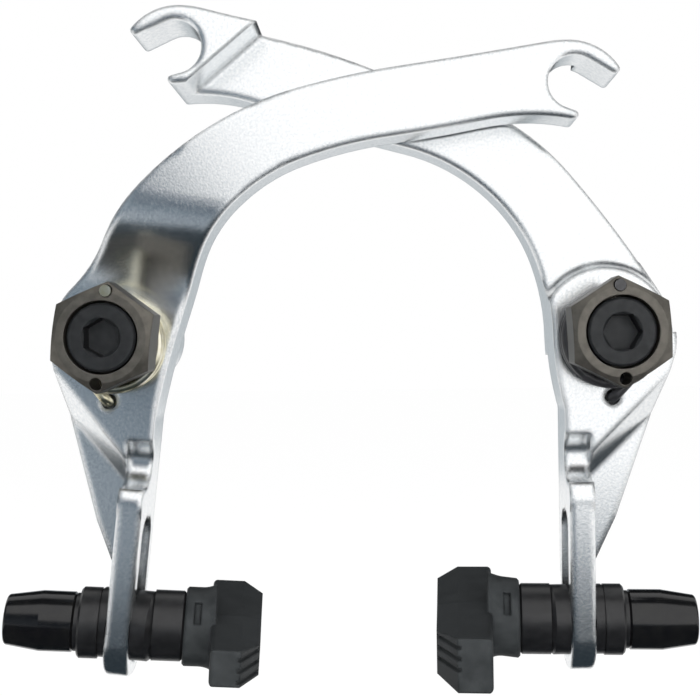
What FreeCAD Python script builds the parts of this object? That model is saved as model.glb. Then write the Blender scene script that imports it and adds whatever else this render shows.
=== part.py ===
import FreeCAD, Part
import math
import os

# BMX u-brake: two crossing forged arms on pivot bolts, each with a return spring, a hex tension
# adjuster and a pad clamped in a slotted leg. Millimetres, X across, Y front to back, Z up.
# The origin lies midway between the two pivot axes, on the machined front face of the bosses.
# Each side is drawn with its pivot at the origin and +X towards the wheel, then set in place.

# Pivots and how far each arm hangs open
pivot_spacing = 90.0
front_swing = 6.3
rear_swing = 0.2

# Depths of the forgings along Y, from the machined boss face at zero
boss_depth = 13.5
plate_thickness = 9.0
front_arch_face = -6.0
arch_gap = 0.5
hook_face = -6.0
hook_back = 6.5
leg_face = -4.0
web_face = 4.5
front_arch_back = front_arch_face + plate_thickness
rear_arch_face = front_arch_back + arch_gap
rear_arch_back = rear_arch_face + plate_thickness

# Boss
plateau_radius = 12.0
plateau_flare = 3.0
spotface_radius = 9.8
back_boss_radius = 9.4
bushing_radius = 6.0
bushing_bore_radius = 4.5
spring_hole_radius = 1.45
spring_hole_depth = 4.0
spring_hole = (-1.0, -11.9)
ramp_low = 7.0
ramp_high = 27.0

# Leg, its slot and the gusset that carries it
leg_offset = 5.5
leg_thickness = 4.6
leg_top = 12.0
leg_end = 56.2
slot_width = 7.4
slot_top = 36.3
front_stud_rise = 3.0
rear_stud_rise = 2.7
stud_depth = 2.5
gusset_end = 45.8
leg_inner = leg_offset + leg_thickness / 2
leg_outer = leg_offset - leg_thickness / 2

# Cable hooks: throat circle, finger tip and lip, drawn from the middle of the throat
hook_x = 78.3
front_hook_z = 54.3
rear_hook_z = 52.8
hook_radius = 4.9
tip_offset = (7.05, 3.0)
tip_radius = 0.8
lip_offset = (0.5, -5.95)
lip_radius = 0.75
crown_angle = 40.0
heel_angle = -95.0
hook_step_x = 79.0
ridge_foot = (-4.5, -4.4)
ridge_head = (-13.6, 3.3)
ridge_lap = 7.0

# Edge rounding of the forgings
arch_round = 0.7
leg_round = 0.7

# Pivot bolt and tension adjuster
shoulder_radius = 3.5
thread_radius = 3.0
undercut_radius = 2.5
undercut_length = 0.6
bolt_head_radius = 6.0
bolt_head_height = 5.6
bolt_end = 9.5
bolt_socket_af = 6.0
bolt_socket_depth = 3.6
adjuster_face = -14.7
adjuster_af = 17.0
adjuster_thickness = 7.0
adjuster_face_radius = 7.85
adjuster_sleeve_radius = 5.8
adjuster_spigot_end = 4.0
adjuster_hole_radius = 1.1
adjuster_chamfer = 30.0
front_adjuster_turn = 6.7
rear_adjuster_turn = 3.0
front_socket_turn = 0.0
rear_socket_turn = 30.0
head_sink = 0.2
head_gap = 0.4
bolt_fit = 0.1
running_fit = 0.05
seat_gap = 0.3

# Return spring
wire_radius = 1.0
coil_radius = 8.1
whole_turns = 2
coil_points = 48
coil_drop = 1.0
coil_front = -6.4
coil_back = -1.2
wire_bend = 1.5
wire_lead = 1.0
adjuster_hole_reach = coil_radius + wire_lead - coil_drop
wire_proud = 0.25
wire_seat = 3.5

# Pad hardware, turned about the stud
stud_radius = 3.0
dome_radius = 6.4
inner_dome_rim = 2.7
outer_dome_rim = 1.95
dome_bore_radius = 4.7
cup_radius = 6.5
cup_lift = 0.3
cup_bore_radius = 3.3
inner_cup_end = 11.0
outer_cup_end = 8.2
flat_washer_radius = 5.3
flat_washer_length = 0.75
nut_radius = 5.5
nut_length = 12.5
nut_straight = 6.2
nut_tip_radius = 4.6
nut_tip_round = 0.6
nut_socket_af = 5.0
nut_socket_depth = 4.0
nut_thread_depth = 8.2
stud_run_in = 7.7
edge_break = 0.4
sphere_fit = 0.08

# Brake pad
pad_length = 50.0
pad_boss_radius = 7.3
pad_boss_length = 3.0
pad_stand_off = 5.1
pad_block_thickness = 10.25
pad_top = 3.1
pad_sag = 0.8
pad_belly = 4.6
pad_tall_end = 9.2
pad_low_end = 6.2
pad_nose = 3.85
pad_nose_run = 7.0
pad_draft = 0.5
pad_flare = 0.8
pad_edge = 0.8
pad_groove_width = 0.7
pad_groove_depth = 0.6
pad_groove_drops = (1.9, 3.8, 5.7)
pad_window_width = 1.3
pad_window_length = 4.2
pad_window_depth = 1.5
pad_window_angle = 35.0
stud_flange_radius = 5.6
stud_flange_length = 2.2
stud_flange_cover = 1.4
front_pad_cant = 1.2
rear_pad_cant = 0.0
front_pad_toe = 8.5
rear_pad_toe = 5.2
front_pad_turn = 0.8
rear_pad_turn = 2.5

X_AXIS = FreeCAD.Vector(1, 0, 0)
Y_AXIS = FreeCAD.Vector(0, 1, 0)
Z_AXIS = FreeCAD.Vector(0, 0, 1)
ORIGIN = FreeCAD.Vector(0, 0, 0)
FAR = 200.0


def at(x, z, y=0.0):
    return FreeCAD.Vector(x, y, z)


def polar(centre, radius, degrees):
    angle = math.radians(degrees)
    return centre[0] + radius * math.cos(angle), centre[1] + radius * math.sin(angle)


def line(a, b):
    return Part.LineSegment(at(*a), at(*b)).toShape()


def arc(a, middle, b):
    return Part.Arc(at(*a), at(*middle), at(*b)).toShape()


def chain(points):
    return [line(a, b) for a, b in zip(points, points[1:])]


def flow(start, heading, points):
    """Arcs through the points, each one leaving in the direction in which the last one arrived."""
    edges = []
    for end in points:
        chord = math.atan2(end[1] - start[1], end[0] - start[0])
        half = math.dist(start, end) / 2
        turn = (chord - heading + math.pi) % (2 * math.pi) - math.pi
        bow = half * math.tan(turn / 2)
        middle_x = (start[0] + end[0]) / 2 + bow * math.sin(chord)
        middle_z = (start[1] + end[1]) / 2 - bow * math.cos(chord)
        edges.append(arc(start, (middle_x, middle_z), end))
        heading = chord + turn
        start = end
    return edges


def prism(edges, y_from, y_to):
    """A flat outline in X and Z, drawn out along Y."""
    wire = Part.Wire(Part.sortEdges(edges)[0])
    wire.translate(FreeCAD.Vector(0, y_from, 0))
    return Part.Face(wire).extrude(FreeCAD.Vector(0, y_to - y_from, 0))


def polygon_prism(points, y_from, y_to):
    return prism(chain(points + points[:1]), y_from, y_to)


def side_prism(edges, x_from, x_to):
    """A profile given as (y, z) pairs, drawn out along X."""
    wire = Part.Wire(Part.sortEdges(edges)[0])
    wire.rotate(ORIGIN, Z_AXIS, 90)
    wire.translate(FreeCAD.Vector(x_from, 0, 0))
    return Part.Face(wire).extrude(FreeCAD.Vector(x_to - x_from, 0, 0))


def rod(radius, y_from, y_to, centre=(0.0, 0.0)):
    return Part.makeCylinder(radius, y_to - y_from, at(*centre, y_from), Y_AXIS)


def turned(edges):
    """A profile given as (along, radius) pairs, turned about X."""
    face = Part.Face(Part.Wire(Part.sortEdges(edges)[0]))
    return face.revolve(ORIGIN, X_AXIS, 360)


def turned_points(points):
    return turned(chain(points + points[:1]))


def along_y(solid):
    solid.rotate(ORIGIN, Z_AXIS, 90)
    return solid


def hexagon(across_flats, y_from, y_to, turn):
    corners = [polar((0, 0), across_flats / math.sqrt(3), 90 - turn + 60 * k) for k in range(6)]
    return polygon_prism(corners, y_from, y_to)


def rounded(solid, radius, keep):
    return solid.makeFillet(radius, [e for e in solid.Edges if keep(e)])


# Forged arms. The outer edge runs from the hook's crown over the arch and round the boss, the inner
# edge from the hook's lip down the wheel side into the leg.
hook_crown = [(-1.5, 7.42), (-5.7, 6.7)]
front_outer_run = [(46.4, 54.0), (29.1, 48.5), (2.1, 28.6), (-4.2, 18.1)]
front_inner_run = [(70.0, 47.4), (62.4, 45.7), (46.0, 41.1), (30.3, 35.4), (18.7, 26.0), (12.4, 12.6)]
rear_outer_run = [(64.3, 57.4), (42.3, 50.4), (28.0, 45.2), (5.8, 30.4), (-5.4, 15.8)]
rear_inner_run = [(70.0, 45.7), (64.4, 44.2), (36.8, 35.7), (26.5, 31.2), (19.0, 24.9), (12.2, 13.5)]
boss_edge = [(-10.2, 8.3), (-13.0, 0.0), (-12.8, -4.0)]
gusset_edge = [(-8.8, -16.4), (-2.2, -34.7), (leg_outer, -gusset_end)]
boss_waist = (9.8, 0.0)
leg_root = (leg_inner, -14.0)

# Front edge of the leg where it steps forward, and the rim of the hollow in the gusset, each as depth
# and height; the hollow's rim has a height at its outer side and one at the leg.
leg_step = [(0.0, -18.6), (2.2, -22.8), (-3.0, -27.2), (-3.75, -28.6), (leg_face, -31.0)]
pocket_rim = [(-1.3, -1.3, -20.8), (0.0, -3.0, -22.2), (web_face, -8.9, -27.1)]


def tangent_angle(offset, radius, side):
    """Where a straight line leaves the throat to cross over to a small end circle."""
    lean = math.degrees(math.acos((hook_radius + radius) / math.hypot(*offset)))
    return math.degrees(math.atan2(offset[1], offset[0])) + side * lean


def arm_outline(hook_z, outer_run, inner_run):
    throat = (hook_x, hook_z)
    tip = (hook_x + tip_offset[0], hook_z + tip_offset[1])
    lip = (hook_x + lip_offset[0], hook_z + lip_offset[1])
    wall = tangent_angle(tip_offset, tip_radius, 1)
    foot = tangent_angle(lip_offset, lip_radius, -1)
    crown = polar(tip, tip_radius, crown_angle)
    heel = polar(lip, lip_radius, heel_angle)
    wall_root, wall_end = polar(throat, hook_radius, wall), polar(tip, tip_radius, wall + 180)
    foot_root, foot_end = polar(throat, hook_radius, foot), polar(lip, lip_radius, foot + 180)
    over = [(hook_x + p[0], hook_z + p[1]) for p in hook_crown]
    outer = flow(crown, math.radians(crown_angle + 90), over + outer_run + boss_edge)
    inner = flow(heel, math.radians(heel_angle - 90), inner_run + [boss_waist, leg_root])
    hook = [
        arc(crown, polar(tip, tip_radius, (crown_angle + wall - 180) / 2), wall_end),
        line(wall_end, wall_root),
        arc(wall_root, polar(throat, hook_radius, 180), foot_root),
        line(foot_root, foot_end),
        arc(foot_end, polar(lip, lip_radius, (heel_angle + foot + 180) / 2), heel),
    ]
    gusset = chain([boss_edge[-1]] + gusset_edge + [(leg_inner, -gusset_end), leg_root])
    return outer + inner + hook + gusset


def on_faces(*depths):
    """Outline edges above the leg that lie on, or end on, the given depths."""
    def keep(edge):
        box = edge.BoundBox
        flat = any(abs(box.YMin - d) < 0.01 and abs(box.YMax - d) < 0.01 for d in depths)
        return flat and box.ZMin > boss_edge[-1][1] - 0.01
    return keep


def front_plate(outline):
    """Arch and boss in one plate, bent forward between them in a smooth step."""
    def step(y_low, y_high):
        middle = (ramp_low + ramp_high) / 2
        ramp = Part.BezierCurve()
        poles = [(y_low, ramp_low), (y_low, middle), (y_high, middle), (y_high, ramp_high)]
        ramp.setPoles([at(*p) for p in poles])
        return ramp.toShape()

    profile = [
        line((front_arch_face, FAR), (front_arch_face, ramp_high)),
        step(0.0, front_arch_face),
        line((0.0, ramp_low), (0.0, -FAR)),
        line((0.0, -FAR), (plate_thickness, -FAR)),
        line((plate_thickness, -FAR), (plate_thickness, ramp_low)),
        step(plate_thickness, front_arch_back),
        line((front_arch_back, ramp_high), (front_arch_back, FAR)),
        line((front_arch_back, FAR), (front_arch_face, FAR)),
    ]
    plate = prism(outline, -FAR, FAR).common(side_prism(profile, -FAR, FAR))
    plate = rounded(plate, arch_round, on_faces(front_arch_face, front_arch_back))
    finger = Part.makeBox(FAR, FAR, FAR, at(hook_step_x, front_hook_z, -FAR / 2))
    hook = prism(outline, front_arch_face + arch_round, hook_back)
    hook = rounded(hook, arch_round, on_faces(hook_back)).common(finger)
    face = Part.makeCylinder(spotface_radius, FAR, ORIGIN, -Y_AXIS)
    return plate.fuse(hook).cut(face)


def rear_plate(outline):
    """Straight arch behind the front one, its boss raised to the same face, its hook brought forward."""
    head, foot = [(hook_x + p[0], rear_hook_z + p[1]) for p in (ridge_head, ridge_foot)]
    along = math.degrees(math.atan2(head[1] - foot[1], head[0] - foot[0]))

    def beyond(lap):
        start = polar(polar(foot, FAR, along + 180), lap, along - 90)
        end = polar(polar(head, FAR, along), lap, along - 90)
        ends = [polar(end, FAR, along - 90), polar(start, FAR, along - 90)]
        return polygon_prism([start, end] + ends, -FAR, FAR)

    arch = rounded(prism(outline, rear_arch_face, rear_arch_back), arch_round,
                   on_faces(rear_arch_face, rear_arch_back))
    below = Part.makeBox(2 * FAR, 2 * FAR, FAR, FreeCAD.Vector(-FAR, -FAR, boss_edge[-1][1] - FAR))
    arch = arch.cut(beyond(ridge_lap)).cut(below)
    hook = rounded(prism(outline, hook_face, hook_back), arch_round, on_faces(hook_face, hook_back))
    hook = hook.common(beyond(0.0))
    rim = plateau_radius + plateau_flare
    plateau = (0.0, plateau_radius)
    flare = along_y(turned(flow(plateau, 0.0, [(rear_arch_face, rim)])
                           + chain([(rear_arch_face, rim), (plate_thickness, rim), (plate_thickness, 0.0),
                                    (0.0, 0.0), plateau])))
    boss = prism(outline, 0.0, plate_thickness)
    lower = boss.common(Part.makeBox(2 * FAR, 2 * FAR, FAR, FreeCAD.Vector(-FAR, -FAR, -FAR)))
    return arch.fuse([hook, flare.common(boss), lower])


def leg():
    """Slotted leg, deeper than the gusset at its lower end, with a scallop where it steps forward."""
    back, front = plate_thickness, leg_face
    middle, reach = (back + front) / 2, (back - front) / 2
    profile = chain([leg_step[0], (leg_step[0][0], -leg_top), (back, -leg_top), (back, -leg_end)])
    profile.append(arc((back, -leg_end), (middle, -leg_end - reach), (front, -leg_end)))
    profile += chain([(front, -leg_end), leg_step[4]])
    profile.append(arc(leg_step[4], leg_step[3], leg_step[2]))
    profile.append(arc(leg_step[2], leg_step[1], leg_step[0]))
    blade = side_prism(profile, leg_outer, leg_inner)

    def lower_rim(edge):
        box = edge.BoundBox
        return box.XLength < 0.01 and box.ZMax < leg_step[3][1] and box.YMin < front + reach + 0.01
    return rounded(blade, leg_round, lower_rim)


def leg_scallop():
    """Hollow across the leg above its step."""
    top, middle, low = leg_step[:3]
    edges = [arc(top, middle, low)] + chain([low, (-FAR, low[1]), (-FAR, top[1]), top])
    return side_prism(edges, leg_outer, leg_inner)


def stud_slot():
    near, far = stud_depth - slot_width / 2, stud_depth + slot_width / 2
    edges = chain([(near, -leg_end), (near, -slot_top)])
    edges.append(arc((near, -slot_top), (stud_depth, slot_width / 2 - slot_top), (far, -slot_top)))
    edges += chain([(far, -slot_top), (far, -leg_end)])
    edges.append(arc((far, -leg_end), (stud_depth, -leg_end - slot_width / 2), (near, -leg_end)))
    return side_prism(edges, leg_outer, leg_inner)


def gusset_pocket():
    """Hollow in the front of the gusset, its upper wall sloping down to the web."""
    def corner(y, outer_z, leg_z):
        far_x = boss_edge[1][0] - plateau_flare
        points = [(far_x, outer_z), (leg_outer, leg_z), (leg_outer, -FAR), (far_x, -FAR), (far_x, outer_z)]
        return Part.makePolygon([at(*p, y) for p in points])
    return Part.makeLoft([corner(*rim) for rim in pocket_rim], True, True)


def arm(plate):
    back_boss = rod(back_boss_radius, stud_depth, boss_depth)
    body = plate.cut(gusset_pocket()).fuse([back_boss, leg()])
    holes = [rod(bushing_radius, -FAR, FAR), rod(spring_hole_radius, 0.0, spring_hole_depth, spring_hole)]
    return body.cut(holes + [leg_scallop(), stud_slot()]).removeSplitter()


# Pivot hardware: the bolt screws into the frame's post, the adjuster turns on the bolt and winds the
# spring, the bushing runs on the adjuster's spigot.
def pivot_bushing():
    return rod(bushing_radius, 0.0, boss_depth).cut(rod(bushing_bore_radius, 0.0, boss_depth))


head_face = adjuster_face + head_sink
head_seat = head_face + bolt_head_height
shoulder_end = adjuster_spigot_end
thread_start = shoulder_end + undercut_length


def pivot_bolt(socket_turn):
    rim = bolt_head_radius - edge_break
    head = [(head_face, 0.0), (head_face, rim), (head_face + edge_break, bolt_head_radius)]
    shoulder = [(head_seat, bolt_head_radius), (head_seat, shoulder_radius)]
    shoulder.append((shoulder_end, shoulder_radius))
    undercut = [(shoulder_end, undercut_radius), (thread_start, undercut_radius)]
    thread = [(thread_start, thread_radius), (bolt_end - edge_break, thread_radius)]
    tip = [(bolt_end, thread_radius - edge_break), (bolt_end, 0.0)]
    bolt = along_y(turned_points(head + shoulder + undercut + thread + tip))
    corner = bolt_socket_af / math.sqrt(3)
    lead_in = along_y(turned_points([(head_face, 0.0), (head_face, corner), (head_face + corner, 0.0)]))
    socket = hexagon(bolt_socket_af, head_face, head_face + bolt_socket_depth, socket_turn)
    return bolt.cut([lead_in, socket])


def tension_adjuster(turn):
    corner = adjuster_af / math.sqrt(3)
    chamfer_end = adjuster_face + (corner - adjuster_face_radius) * math.tan(math.radians(adjuster_chamfer))
    hex_back = adjuster_face + adjuster_thickness
    spigot = bushing_bore_radius - running_fit
    bevel = along_y(turned_points([(adjuster_face, 0.0), (adjuster_face, adjuster_face_radius),
                                   (chamfer_end, corner), (hex_back, corner), (hex_back, 0.0)]))
    body = hexagon(adjuster_af, adjuster_face, hex_back, turn).common(bevel)
    sleeve = rod(adjuster_sleeve_radius, hex_back, -seat_gap)
    body = body.fuse([sleeve, rod(spigot, -seat_gap, adjuster_spigot_end)])
    body = body.cut(rod(shoulder_radius + bolt_fit, adjuster_face, adjuster_spigot_end))
    body = body.cut(rod(bolt_head_radius + head_gap, adjuster_face, head_seat))
    for end in (90, 270):
        hole = polar((0, 0), adjuster_hole_reach, end - turn)
        body = body.cut(rod(adjuster_hole_radius, adjuster_face, hex_back, hole))
    return body.removeSplitter()


def return_spring(turn):
    """Coil wound from the adjuster's upper hole back to the hole in the boss, both ends bent straight."""
    coil = (0.0, -coil_drop)
    front_hole = polar((0, 0), adjuster_hole_reach, 90 - turn)

    def reach(hole, side):
        away = (hole[0] - coil[0], hole[1] - coil[1])
        lean = math.degrees(math.acos(coil_radius / math.hypot(*away)))
        return math.degrees(math.atan2(away[1], away[0])) + side * lean

    def bend(hole, touch, y_coil, y_way):
        run = math.dist(hole, touch)
        way = ((touch[0] - hole[0]) / run, (touch[1] - hole[1]) / run)
        points = []
        for angle in (0, 22.5, 45, 67.5, 90):
            a = math.radians(angle)
            out = wire_bend * (1 - math.cos(a))
            points.append(at(hole[0] + way[0] * out, hole[1] + way[1] * out,
                             y_coil + y_way * wire_bend * (1 - math.sin(a))))
        return points

    start = reach(front_hole, 1)
    end = reach(spring_hole, -1) % 360 + 360 * whole_turns
    wound = [start + (end - start) * k / coil_points for k in range(coil_points + 1)]
    rise = (coil_back - coil_front) / (end - start)
    turns = [at(*polar(coil, coil_radius, w), coil_front + rise * (w - start)) for w in wound]
    front = bend(front_hole, polar(coil, coil_radius, start), coil_front, -1)
    back = bend(spring_hole, polar(coil, coil_radius, end), coil_back, 1)
    front_end = at(*front_hole, adjuster_face - wire_proud)
    path = Part.BSplineCurve()
    path.interpolate([front_end, (front_end + front[0]) / 2] + front + turns + back[::-1]
                     + [at(*spring_hole, wire_seat)])
    section = Part.Wire(Part.makeCircle(wire_radius, front_end, Y_AXIS))
    return Part.Wire(path.toShape()).makePipeShell([section], True, False)


# Pad hardware about the stud, from the middle of the leg: towards the wheel for the inner pieces,
# away from it for the outer ones. Domes and cups meet on spheres about one point, so that the pad can
# be set to the rim.
dome_start = leg_thickness / 2


def sphere_radius(rim):
    return math.hypot(dome_start + rim, dome_radius)


def sphere_arc(radius, along, bore):
    """Arc of a sphere about the leg's middle, from a station along the stud in to a bore."""
    outer = (along, math.sqrt(radius ** 2 - along ** 2))
    inner = (math.sqrt(radius ** 2 - bore ** 2), bore)
    half = (math.atan2(outer[1], outer[0]) + math.atan2(inner[1], inner[0])) / 2
    return outer, inner, arc(outer, polar((0, 0), radius, math.degrees(half)), inner)


def dome_washer(rim):
    outer, inner, cap = sphere_arc(sphere_radius(rim), dome_start + rim, dome_bore_radius)
    return turned([cap] + chain([inner, (dome_start, dome_bore_radius), (dome_start, dome_radius), outer]))


def cup_washer(dome_rim, end):
    hollow_radius = sphere_radius(dome_rim) + sphere_fit
    outer, inner, hollow = sphere_arc(hollow_radius, dome_start + dome_rim + cup_lift, cup_bore_radius)
    rim = [outer, (outer[0], cup_radius), (end - edge_break, cup_radius), (end, cup_radius - edge_break)]
    return turned([hollow] + chain(rim + [(end, cup_bore_radius), inner]))


def flat_washer():
    end = outer_cup_end + flat_washer_length
    return turned_points([(outer_cup_end, cup_bore_radius), (outer_cup_end, flat_washer_radius),
                          (end, flat_washer_radius), (end, cup_bore_radius)])


nut_base = outer_cup_end + flat_washer_length


def cap_nut():
    tip = nut_base + nut_length
    round_middle = (tip - nut_tip_round, nut_tip_radius - nut_tip_round)
    round_start = (round_middle[0], nut_tip_radius)
    flat = (tip, round_middle[1])
    body = turned(chain([flat, (tip, 0.0), (nut_base, 0.0), (nut_base, nut_radius - edge_break),
                         (nut_base + edge_break, nut_radius), (nut_base + nut_straight, nut_radius),
                         round_start])
                  + [arc(round_start, polar(round_middle, nut_tip_round, 45), flat)])
    thread = turned_points([(nut_base, 0.0), (nut_base, stud_radius + running_fit),
                            (nut_base + nut_thread_depth, stud_radius + running_fit),
                            (nut_base + nut_thread_depth, 0.0)])
    socket = hexagon(nut_socket_af, tip - nut_socket_depth, tip, 0.0)
    socket.rotate(ORIGIN, Z_AXIS, -90)
    return body.cut([thread, socket])


flange_start = inner_cup_end + stud_flange_cover
flange_end = flange_start + stud_flange_length


def pad_stud():
    end = -(nut_base + stud_run_in)
    return turned_points([(end, 0.0), (end, stud_radius - edge_break), (end + edge_break, stud_radius),
                          (flange_start, stud_radius), (flange_start, stud_flange_radius),
                          (flange_end, stud_flange_radius), (flange_end, 0.0)])


def brake_pad():
    """Block bent slightly upwards at its ends, bevelled noses with grooves, a round boss behind."""
    half = pad_length / 2
    boss_end = inner_cup_end + pad_boss_length
    back = inner_cup_end + pad_stand_off
    face = back + pad_block_thickness
    nose_x, nose_y = face - pad_nose, half - pad_nose_run

    def section(x, draft):
        top = [(-half, pad_top), (0.0, pad_top - pad_sag), (half, pad_top)]
        low = [(half, pad_top - pad_tall_end), (0.0, -pad_belly), (-half, pad_top - pad_low_end)]
        points = [(y, z - draft) for y, z in top] + [(y, z + draft) for y, z in low]
        return Part.makePolygon([FreeCAD.Vector(x, y, z) for y, z in points + points[:1]])

    block = Part.makeLoft([section(back, 0.0), section(nose_x, 0.0), section(face, pad_draft)], True, True)
    plan = [(back, -half), (nose_x, -half), (face, -nose_y), (face, nose_y), (nose_x, half), (back, half)]
    wire = Part.makePolygon([FreeCAD.Vector(x, y, -FAR) for x, y in plan + plan[:1]])
    block = block.common(Part.Face(wire).extrude(FreeCAD.Vector(0, 0, 2 * FAR)))
    block = rounded(block, pad_edge, lambda e: e.BoundBox.XMax < back + 0.01)
    collar = (boss_end, pad_boss_radius)
    flange = (back + pad_edge, pad_boss_radius + pad_flare)
    boss = turned(flow(collar, 0.0, [flange])
                  + chain([flange, (flange[0], 0.0), (inner_cup_end, 0.0),
                           (inner_cup_end, pad_boss_radius - edge_break),
                           (inner_cup_end + edge_break, pad_boss_radius), collar]))
    cuts = [pad_stud()]
    slope = math.degrees(math.atan2(pad_nose, pad_nose_run))
    for drop in pad_groove_drops:
        corner = FreeCAD.Vector(-pad_groove_depth, 0, pad_top - drop)
        groove = Part.makeBox(2 * pad_groove_depth, pad_length, pad_groove_width, corner)
        groove.rotate(ORIGIN, Z_AXIS, slope)
        groove.translate(FreeCAD.Vector(face, nose_y, 0))
        cuts += [groove, groove.mirror(ORIGIN, Y_AXIS)]
    corner = FreeCAD.Vector(boss_end, pad_boss_radius, 0)
    corner -= FreeCAD.Vector(pad_window_width, pad_window_depth, pad_window_length / 2)
    window = Part.makeBox(pad_window_width, 2 * pad_window_depth, pad_window_length, corner)
    window.rotate(ORIGIN, X_AXIS, pad_window_angle)
    return block.fuse(boss).cut(cuts + [window, window.mirror(ORIGIN, Y_AXIS)])


# Setting the pieces in place: pad hardware goes to the leg's slot, what hangs on the arm swings about
# the pivot, and the right side is the mirror image of its drawing.
def outward(solid):
    return solid.mirror(ORIGIN, X_AXIS)


def side(plate, pad, swing, adjuster_turn, socket_turn, stud_rise, cant, toe, pad_turn):
    def hung(solid):
        solid.rotate(ORIGIN, Y_AXIS, swing)
        return solid

    def on_leg(solid):
        solid.translate(at(leg_offset, stud_rise - leg_end, stud_depth))
        return hung(solid)

    def on_sphere(solid):
        solid.rotate(ORIGIN, Y_AXIS, -cant)
        solid.rotate(ORIGIN, Z_AXIS, toe)
        return on_leg(solid)

    stud = pad_stud()
    for moulding in (pad, stud):
        moulding.rotate(ORIGIN, X_AXIS, pad_turn)
    return {
        "arm": hung(arm(plate)),
        "pivot_bushing": hung(pivot_bushing()),
        "return_spring": hung(return_spring(adjuster_turn - swing)),
        "tension_adjuster": tension_adjuster(adjuster_turn),
        "pivot_bolt": pivot_bolt(socket_turn),
        "inner_dome": on_leg(dome_washer(inner_dome_rim)),
        "outer_dome": on_leg(outward(dome_washer(outer_dome_rim))),
        "brake_pad": on_sphere(pad),
        "pad_stud": on_sphere(stud),
        "inner_cup": on_sphere(cup_washer(inner_dome_rim, inner_cup_end)),
        "outer_cup": on_sphere(outward(cup_washer(outer_dome_rim, outer_cup_end))),
        "flat_washer": on_sphere(outward(flat_washer())),
        "cap_nut": on_sphere(outward(cap_nut())),
    }


front_outline = arm_outline(front_hook_z, front_outer_run, front_inner_run)
rear_outline = arm_outline(rear_hook_z, rear_outer_run, rear_inner_run)
left = side(front_plate(front_outline), brake_pad(), front_swing, front_adjuster_turn,
            front_socket_turn, front_stud_rise, front_pad_cant, front_pad_toe, front_pad_turn)
right = side(rear_plate(rear_outline), brake_pad().mirror(ORIGIN, Y_AXIS), rear_swing, rear_adjuster_turn,
             rear_socket_turn, rear_stud_rise, rear_pad_cant, rear_pad_toe, rear_pad_turn)

os.makedirs("parts", exist_ok=True)
for name, solid in left.items():
    solid.translate(at(-pivot_spacing / 2, 0.0))
    solid.exportStep("parts/left_" + name + ".step")
for name, solid in right.items():
    solid = outward(solid)
    solid.translate(at(pivot_spacing / 2, 0.0))
    solid.exportStep("parts/right_" + name + ".step")
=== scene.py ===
import math

import bpy
from mathutils import Matrix, Vector


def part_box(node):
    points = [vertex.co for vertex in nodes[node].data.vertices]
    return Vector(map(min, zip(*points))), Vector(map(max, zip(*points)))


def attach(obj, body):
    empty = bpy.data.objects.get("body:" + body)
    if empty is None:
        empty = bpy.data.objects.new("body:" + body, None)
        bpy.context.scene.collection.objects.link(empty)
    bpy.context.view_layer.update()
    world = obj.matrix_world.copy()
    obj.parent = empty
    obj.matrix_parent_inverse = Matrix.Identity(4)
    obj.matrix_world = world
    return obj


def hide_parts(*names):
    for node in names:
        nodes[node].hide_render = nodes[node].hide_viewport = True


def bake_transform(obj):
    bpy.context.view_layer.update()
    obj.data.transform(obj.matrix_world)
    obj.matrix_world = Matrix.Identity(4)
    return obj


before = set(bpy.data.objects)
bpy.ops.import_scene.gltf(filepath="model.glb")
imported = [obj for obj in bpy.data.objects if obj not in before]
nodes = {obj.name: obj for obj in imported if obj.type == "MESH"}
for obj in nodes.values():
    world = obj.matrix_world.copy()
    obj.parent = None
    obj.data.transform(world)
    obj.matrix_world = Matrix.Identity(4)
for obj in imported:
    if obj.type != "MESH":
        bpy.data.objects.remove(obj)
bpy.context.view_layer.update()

# Arms: two pieces of forged aluminium, spot-faced at the boss, tumbled and then polished to a mirror.
# The polish softens every edge and leaves a faint orange peel that breaks reflections into fine grain.
# The peel is drawn a third of a millimetre wide, coarser than the real one, so that it shows.
MM = 0.001


def linear(hex_colour):
    """An sRGB hex colour as linear red, green, blue and alpha."""
    parts = [int(hex_colour[i:i + 2], 16) / 255 for i in (1, 3, 5)]
    return [c / 12.92 if c <= 0.04045 else ((c + 0.055) / 1.055) ** 2.4 for c in parts] + [1.0]


def add(tree, kind, values=None, links=None, **settings):
    """A shader node with its settings, socket values and incoming links."""
    made = tree.nodes.new(kind)
    for key, value in settings.items():
        setattr(made, key, value)
    for key, value in (values or {}).items():
        made.inputs[key].default_value = value
    for key, socket in (links or {}).items():
        tree.links.new(socket, made.inputs[key])
    return made


def surface(name, values=None):
    """A new material whose main shader has the given socket values."""
    material = bpy.data.materials.new(name)
    material.use_nodes = True
    for key, value in (values or {}).items():
        material.node_tree.nodes["Principled BSDF"].inputs[key].default_value = value
    return material


def mottled(material, dark, light, patch_mm, rough_low, rough_high):
    """Colour and roughness that waver together over patches of the given width."""
    tree = material.node_tree
    shader = tree.nodes["Principled BSDF"]
    place = add(tree, "ShaderNodeTexCoord")
    patch = add(tree, "ShaderNodeTexNoise", {"Scale": 1 / (patch_mm * MM), "Detail": 3.0},
                {"Vector": place.outputs["Object"]})
    tint = add(tree, "ShaderNodeValToRGB", links={"Fac": patch.outputs["Fac"]})
    tint.color_ramp.elements[0].position = 0.35
    tint.color_ramp.elements[0].color = linear(dark)
    tint.color_ramp.elements[1].position = 0.65
    tint.color_ramp.elements[1].color = linear(light)
    gloss = add(tree, "ShaderNodeMapRange", {"To Min": rough_low, "To Max": rough_high},
                {"Value": patch.outputs["Fac"]})
    tree.links.new(tint.outputs["Color"], shader.inputs["Base Color"])
    tree.links.new(gloss.outputs["Result"], shader.inputs["Roughness"])


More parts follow.
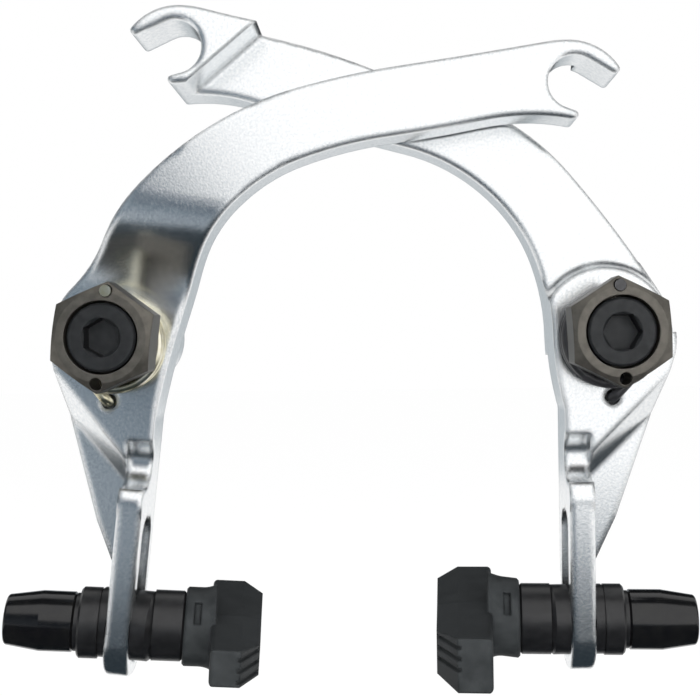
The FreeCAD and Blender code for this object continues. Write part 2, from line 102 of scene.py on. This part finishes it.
def grained(material, grain_mm, height_mm, strength, rounding_mm):
    """Fine relief of the given grain and height, over edges that catch the light as if rounded."""
    tree = material.node_tree
    shader = tree.nodes["Principled BSDF"]
    place = add(tree, "ShaderNodeTexCoord")
    relief = add(tree, "ShaderNodeTexNoise", {"Scale": 1 / (grain_mm * MM), "Detail": 2.0},
                 {"Vector": place.outputs["Object"]})
    edge = add(tree, "ShaderNodeBevel", {"Radius": rounding_mm * MM}, samples=6)
    bump = add(tree, "ShaderNodeBump", {"Distance": height_mm * MM, "Strength": strength},
               {"Height": relief.outputs["Fac"], "Normal": edge.outputs["Normal"]})
    tree.links.new(bump.outputs["Normal"], shader.inputs["Normal"])


def dress(piece, material):
    """The piece wears this material and no other."""
    piece.data.materials.clear()
    piece.data.materials.append(material)


polished_aluminium = surface("polished_aluminium", {"Metallic": 1.0})
mottled(polished_aluminium, "#E6E9EB", "#F7F8F8", patch_mm=0.5, rough_low=0.2, rough_high=0.26)
grained(polished_aluminium, grain_mm=0.35, height_mm=0.02, strength=0.5, rounding_mm=1.6)
for side in ("left", "right"):
    dress(nodes[side + "_arm"], polished_aluminium)

# Pivot bushings: plain bearing bronze, turned and pressed into the bosses of the arms.
# Only their ends show, as thin dull gold rings.
bearing_bronze = surface("turned_bearing_bronze", {"Metallic": 1.0})
mottled(bearing_bronze, "#8E6F42", "#A98654", patch_mm=2.0, rough_low=0.32, rough_high=0.42)
for side in ("left", "right"):
    dress(nodes[side + "_pivot_bushing"], bearing_bronze)

# Tension adjusters: hexes turned from steel bar with a brown-black bronze plating, held by the bolts.
# The plating is satin and shows the grain of the bar, drawn a quarter of a millimetre wide so that it shows.
bronze_plate = surface("brown_black_bronze_plating", {"Metallic": 0.9})
mottled(bronze_plate, "#56534E", "#63605A", patch_mm=1.5, rough_low=0.4, rough_high=0.5)
grained(bronze_plate, grain_mm=0.25, height_mm=0.01, strength=0.35, rounding_mm=0.3)
for side in ("left", "right"):
    dress(nodes[side + "_tension_adjuster"], bronze_plate)

# Pivot bolts and pad studs: M6 steel, the bolts screwed into the bicycle and the studs moulded into the pads.
# Black oxide leaves them near black and rather matt, with a fine tooth that is drawn coarser than it is.
black_oxide = surface("black_oxide_steel", {"Specular IOR Level": 0.25})
mottled(black_oxide, "#0C0D0E", "#131415", patch_mm=1.2, rough_low=0.4, rough_high=0.5)
grained(black_oxide, grain_mm=0.3, height_mm=0.01, strength=0.3, rounding_mm=0.25)
for side in ("left", "right"):
    for name in ("_pivot_bolt", "_pad_stud"):
        dress(nodes[side + name], black_oxide)

# Return springs: 2 mm spring steel wire, wound round the adjuster's sleeve with both ends bent straight.
# The left one is plated with pale yellow zinc, which is bright, and the right one is blackened.
yellow_zinc = surface("yellow_zinc_plating", {"Metallic": 1.0})
mottled(yellow_zinc, "#DED6B4", "#F0ECDA", patch_mm=2.5, rough_low=0.24, rough_high=0.34)
black_wire = surface("blackened_spring_wire")
mottled(black_wire, "#151516", "#1F1F21", patch_mm=1.5, rough_low=0.25, rough_high=0.38)
for side, plating, slot in (
    ("left", yellow_zinc, "yellow_zinc_wire"),
    ("right", black_wire, "black_spring_wire"),
):
    name = side + "_return_spring"
    wire = bpy.data.objects.new(side + "_spring_wire", nodes[name].data.copy())
    bpy.context.collection.objects.link(wire)
    dress(wire, plating)
    low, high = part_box(name)
    middle = (low + high) / 2
    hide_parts(name)
    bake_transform(wire)

# Pad hardware: turned steel washers and spacers stacked on the stud, and the cap nut that clamps them.
# The washers have a satin black finish and the nuts a gloss black paint, which mirrors the strip of light.
satin_black = surface("satin_black_steel")
mottled(satin_black, "#0A0A0B", "#101011", patch_mm=1.5, rough_low=0.3, rough_high=0.4)
gloss_black = surface("gloss_black_paint")
mottled(gloss_black, "#050506", "#090909", patch_mm=2.0, rough_low=0.14, rough_high=0.2)
for side in ("left", "right"):
    for name in ("_inner_dome", "_outer_dome", "_inner_cup", "_outer_cup", "_flat_washer"):
        dress(nodes[side + name], satin_black)
    dress(nodes[side + "_cap_nut"], gloss_black)

# Brake pads: moulded black rubber, dull grey where it has bloomed, with the grain of its mould drawn coarse.
# Each block is a wedge in plan, thinner at its front end, and the right one sits a little high on its boss.
# The toe is the angle between the block and the wheel, and depth runs from the block's back to its face.
pad_rubber = surface("moulded_brake_rubber", {"Specular IOR Level": 0.2})
mottled(pad_rubber, "#191B1C", "#212324", patch_mm=3.0, rough_low=0.5, rough_high=0.6)
grained(pad_rubber, grain_mm=0.35, height_mm=0.03, strength=0.4, rounding_mm=0.7)
block_mm = 10.25
boss_mm = 5.1
for side, inward, toe_deg, far_growth_mm, near_loss_mm, lift_mm in (
    ("left", 1, 8.5, 0.2, 2.0, 0.0),
    ("right", -1, 5.2, 1.0, 0.8, 0.6),
):
    name = side + "_brake_pad"
    pad = bpy.data.objects.new(side + "_pad_rubber", nodes[name].data.copy())
    bpy.context.collection.objects.link(pad)
    pad.matrix_world = nodes[name].matrix_world
    dress(pad, pad_rubber)
    low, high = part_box(name)
    middle = (low + high) / 2
    half_length = (high.y - low.y) / 2
    toe = math.tan(math.radians(toe_deg))
    face = (high.x if inward > 0 else low.x) - inward * half_length * toe
    to_pad = pad.matrix_world.inverted()
    for corner in pad.data.vertices:
        spot = pad.matrix_world @ corner.co
        forward = middle.y - spot.y
        back = face - inward * (block_mm * MM - forward * toe)
        depth = inward * (spot.x - back) / (block_mm * MM)
        near = forward / half_length / 2 + 0.5
        growth_mm = far_growth_mm * (1 - near) - near_loss_mm * near
        spot.x += inward * max(0, depth) * growth_mm * MM
        spot.z += lift_mm * MM * min(1, max(0, 1 + depth * block_mm / boss_mm))
        corner.co = to_pad @ spot
    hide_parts(name)
    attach(pad, side + "_pad")

# Floor: a broad flat sheet of white paper a little below the brake, which hangs clear of it.
# The eye and reflections see it as plain white with only a breath of shadow.
sheet_m = 4.0
sheet_z_mm = -85
plain_white = 1.03
plain_share = 0.95


def seen_plainly(tree):
    """A socket that is 1 for rays from the eye, also by a mirror or through glass, and 0 for other light."""
    path = add(tree, "ShaderNodeLightPath")
    mirrored = add(tree, "ShaderNodeMath", {},
                   {0: path.outputs["Is Camera Ray"], 1: path.outputs["Is Glossy Ray"]}, operation="ADD")
    through = add(tree, "ShaderNodeMath", {},
                  {0: mirrored.outputs[0], 1: path.outputs["Is Transmission Ray"]},
                  operation="ADD", use_clamp=True)
    return through.outputs[0]


bpy.ops.mesh.primitive_plane_add(size=sheet_m, location=(0, 0, sheet_z_mm * MM))
floor = bpy.context.object
floor.name = "white_floor"
white_sheet = surface("white_paper", {"Base Color": linear("#F2F2F2"), "Roughness": 0.9})
tree = white_sheet.node_tree
glow = add(tree, "ShaderNodeEmission", {"Color": (1, 1, 1, 1), "Strength": plain_white})
share = add(tree, "ShaderNodeMath", {1: plain_share}, {0: seen_plainly(tree)}, operation="MULTIPLY")
paper = tree.nodes["Principled BSDF"]
mix = add(tree, "ShaderNodeMixShader", {}, {0: share.outputs[0], 1: paper.outputs[0], 2: glow.outputs[0]})
tree.links.new(mix.outputs[0], tree.nodes["Material Output"].inputs["Surface"])
dress(floor, white_sheet)

# Reflections: a white wall behind the camera that gives way to a dim room below a line that falls from
# left to right, a table top, and grey cards behind, beside and above the brake that draw its edges.
# Only reflections see them. Corners are in millimetres.
for name, colour, strength, corners_mm in (
    ("white_wall", "#FFFFFF", 1.25,
     [(-905, -320, 1135), (695, -320, -937), (1700, -320, 0), (100, -320, 1900)]),
    ("dim_wall", "#3A4D5E", 1,
     [(-905, -320, 1135), (695, -320, -937), (640, -320, -994), (-960, -320, 1078)]),
    ("lighter_wall", "#86929C", 1,
     [(-960, -320, 1078), (640, -320, -994), (-400, -320, -1800), (-2000, -320, 0)]),
    ("table_front", "#8E98A1", 1,
     [(-150, -420, -84), (150, -420, -84), (150, -170, -84), (-150, -170, -84)]),
    ("table_under", "#2E363C", 1,
     [(-150, -170, -84), (150, -170, -84), (150, 20, -84), (-150, 20, -84)]),
    ("grey_card_back", "#BEC4C8", 1,
     [(-500, 500, -84), (500, 500, -84), (500, 500, 75), (-500, 500, 75)]),
    ("dark_card_back", "#202428", 1,
     [(-500, 500, 75), (500, 500, 75), (500, 500, 520), (-500, 500, 520)]),
    ("grey_card_left", "#34393E", 1,
     [(-400, -120, -10), (-400, 120, -10), (-400, 120, 400), (-400, -120, 400)]),
    ("grey_card_right", "#34393E", 1,
     [(400, -120, -10), (400, 120, -10), (400, 120, 400), (400, -120, 400)]),
    ("grey_card_top", "#34393E", 1,
     [(-400, -120, 400), (400, -120, 400), (400, 120, 400), (-400, 120, 400)]),
):
    paint = surface(name)
    tree = paint.node_tree
    glow = add(tree, "ShaderNodeEmission", {"Color": linear(colour), "Strength": strength})
    tree.links.new(glow.outputs[0], tree.nodes["Material Output"].inputs["Surface"])
    sheet = bpy.data.meshes.new(name)
    sheet.from_pydata([Vector(corner) * MM for corner in corners_mm], [], [(0, 1, 2, 3)])
    card = bpy.data.objects.new(name, sheet)
    bpy.context.collection.objects.link(card)
    dress(card, paint)
    card.visible_camera = False
    card.visible_diffuse = False
    card.visible_shadow = False

# Light: soft boxes at the upper left, in front and above, which only fill, and a long strip in front
# and above that draws one bright line along everything round. Places and sizes are in millimetres.
for name, place_mm, size_mm, watts, mirrored in (
    ("soft_box_left", (-260, -320, 300), (320, 320), 1.2, False),
    ("soft_box_front", (60, -480, 20), (400, 300), 8.0, False),
    ("soft_box_top", (0, 120, 380), (300, 300), 0.3, False),
    ("strip_box", (0, -400, 166), (1400, 60), 0.6, True),
):
    lamp = bpy.data.lights.new(name, "AREA")
    lamp.shape = "RECTANGLE"
    lamp.size = size_mm[0] * MM
    lamp.size_y = size_mm[1] * MM
    lamp.energy = watts
    box = bpy.data.objects.new(name, lamp)
    bpy.context.collection.objects.link(box)
    box.location = Vector(place_mm) * MM
    box.rotation_euler = (-Vector(place_mm)).to_track_quat("-Z", "Y").to_euler()
    box.visible_glossy = mirrored

# Room: white all round for the eye and for reflections, and a quarter as bright as a light,
# so that it only lifts the shadows on the black pieces.
room_light = 0.25
room_white = 1.0
world = bpy.data.worlds.new("white_studio")
bpy.context.scene.world = world
world.use_nodes = True
tree = world.node_tree
level = add(tree, "ShaderNodeMapRange", {"To Min": room_light, "To Max": room_white},
            {"Value": seen_plainly(tree)})
tree.links.new(level.outputs["Result"], tree.nodes["Background"].inputs["Strength"])
tree.nodes["Background"].inputs["Color"].default_value = (1, 1, 1, 1)

# Camera: level with the pivots, about 200 mm in front of them, and turned a hair about its own axis,
# as the photograph was taken. The shift brings the brake to its place in the picture.
lens_mm = 56.8
eye_mm = (3.97, -204.7, -2.34)
roll_deg = -0.64
camera = bpy.data.cameras.new("camera")
camera.sensor_width = 36.0
camera.lens = lens_mm
camera.shift_x = -0.05
camera.clip_start = 0.01
eye = bpy.data.objects.new("camera", camera)
bpy.context.collection.objects.link(eye)
level_look = Matrix.Rotation(math.radians(90), 4, "X")
roll = Matrix.Rotation(math.radians(roll_deg), 4, "Z")
eye.matrix_world = Matrix.Translation(Vector(eye_mm) * MM) @ level_look @ roll
bpy.context.scene.camera = eye
bpy.context.scene.view_settings.view_transform = "Standard"
